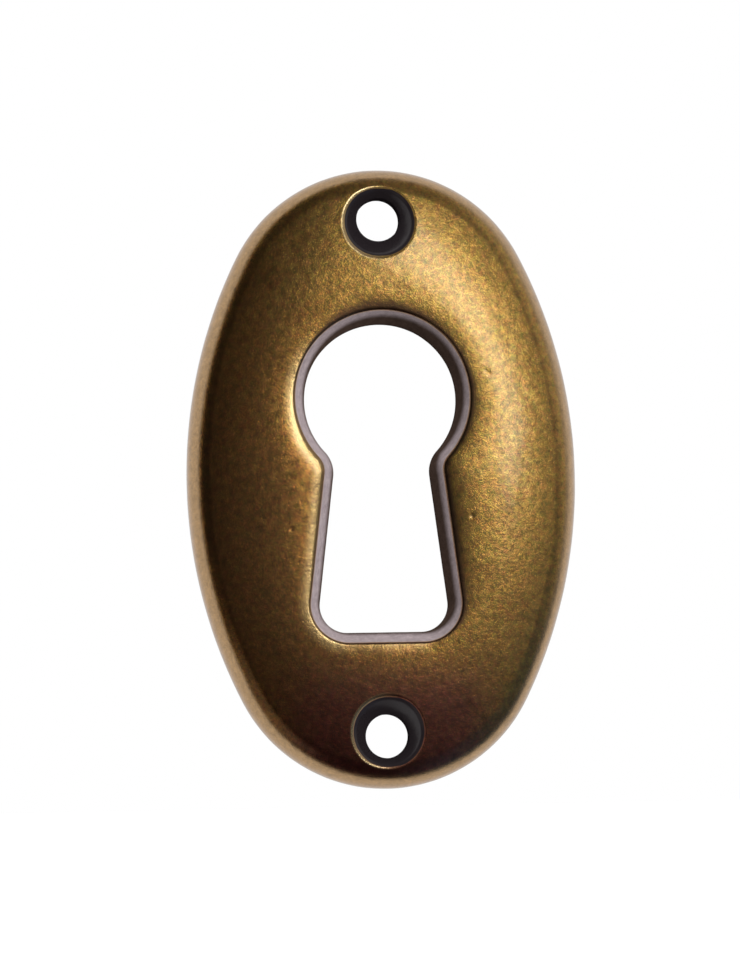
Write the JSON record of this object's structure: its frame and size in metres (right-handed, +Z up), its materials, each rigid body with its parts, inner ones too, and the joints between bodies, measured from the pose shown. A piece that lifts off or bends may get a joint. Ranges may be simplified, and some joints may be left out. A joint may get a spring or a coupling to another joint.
{
  "type": "keyhole escutcheon",
  "caption": "Oval cast brass keyhole escutcheon with a crowned face, a rounded rim, a flared keyhole and countersunk screw holes above and below it.",
  "frame": {"origin": "on the flat back, midway between the two screw holes", "axes": "+Z up along the screw holes' line towards the round end of the keyhole, +Y out of the back into the door or drawer front, the crowned face looks towards -Y"},
  "size_m": [0.0314, 0.0036, 0.05],
  "materials": {
    "antique_brass": "cast brass, darkened with a brown-black patina and rubbed back to gold on the raised face, lacquered"
  },
  "bodies": {
    "root": {"escutcheon_plate": "antique_brass"}
  },
  "joints": []
}
